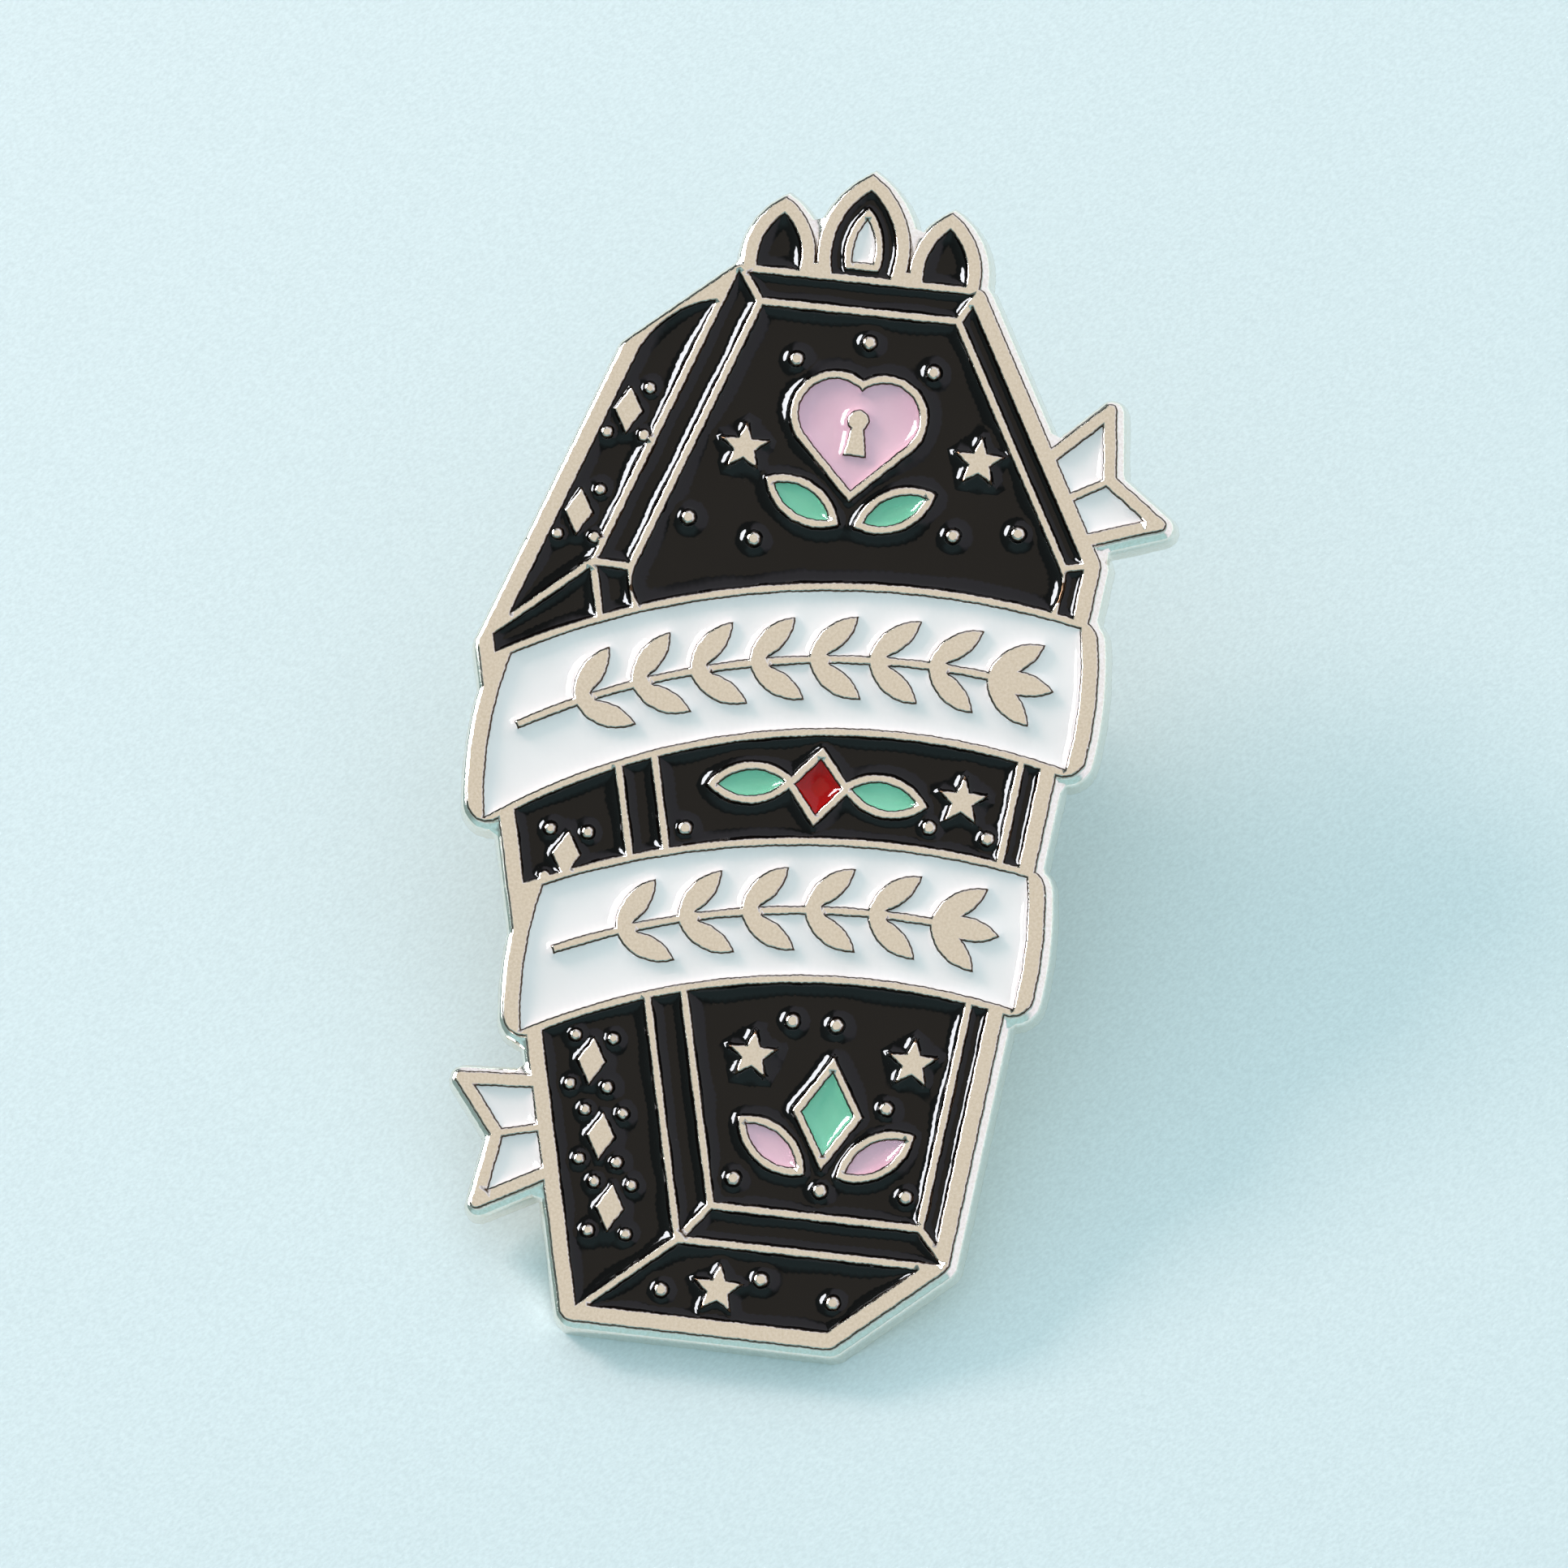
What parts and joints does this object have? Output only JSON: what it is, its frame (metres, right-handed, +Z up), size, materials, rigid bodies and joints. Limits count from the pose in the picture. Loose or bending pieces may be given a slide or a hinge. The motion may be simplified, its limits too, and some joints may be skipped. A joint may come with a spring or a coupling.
{
  "type": "enamel pin",
  "caption": "Coffin-shaped soft-enamel pin with raised metal lines, arched white ribbons, a soldered nail post and a butterfly clutch with squeezable wings.",
  "frame": {"origin": "where the axis of the post meets the back of the plate", "axes": "+Z up from the foot of the coffin to its head, -Y out of the enamelled face, +Y along the post to its point"},
  "size_m": [0.0235, 0.0107, 0.0408],
  "materials": {
    "nickel": "polished nickel plate over a struck blank",
    "black_enamel": "glossy soft enamel",
    "white_enamel": "glossy soft enamel",
    "mint_enamel": "glossy soft enamel",
    "pink_enamel": "glossy soft enamel",
    "red_enamel": "glossy soft enamel",
    "post_steel": "nickel-plated steel",
    "solder": "dull solder",
    "clutch_steel": "nickel-plated stamped sheet"
  },
  "bodies": {
    "pin": {"base_plate": "nickel", "black_lid_upper": "black_enamel", "black_lid_middle": "black_enamel", "black_lid_lower": "black_enamel", "black_moulding_upper": "black_enamel", "black_moulding_middle": "black_enamel", "black_moulding_lower": "black_enamel", "black_side_upper": "black_enamel", "black_side_middle": "black_enamel", "black_side_lower": "black_enamel", "black_foot": "black_enamel", "black_cresting": "black_enamel", "white_ribbon_upper": "white_enamel", "white_ribbon_lower": "white_enamel", "white_tail_upper": "white_enamel", "white_tail_lower": "white_enamel", "white_crest_inlay": "white_enamel", "mint_enamel": "mint_enamel", "pink_enamel": "pink_enamel", "red_enamel": "red_enamel", "post": "post_steel", "post_solder": "solder"},
    "clutch": {"clutch_cap": "clutch_steel"},
    "wing_left": {"clutch_wing_left": "clutch_steel"},
    "wing_right": {"clutch_wing_right": "clutch_steel"}
  },
  "joints": [
    {"name": "clutch_slide", "type": "slide", "parent": "pin", "child": "clutch", "axis": [0, 1, 0], "range_m": [-0.0018, 0.012]},
    {"name": "wing_left_squeeze", "type": "hinge", "parent": "clutch", "child": "wing_left", "pos_m": [0.0047, 0.00323, 0], "axis": [0, 0, -1], "range_deg": [0, 8], "stiffness_Nm_per_rad": 0.02},
    {"name": "wing_right_squeeze", "type": "hinge", "parent": "clutch", "child": "wing_right", "pos_m": [-0.0047, 0.00323, 0], "axis": [0, 0, 1], "range_deg": [0, 8], "stiffness_Nm_per_rad": 0.02}
  ],
  "couplings": [
    {"joint": "wing_right_squeeze", "follows": "wing_left_squeeze", "ratio": 1}
  ]
}
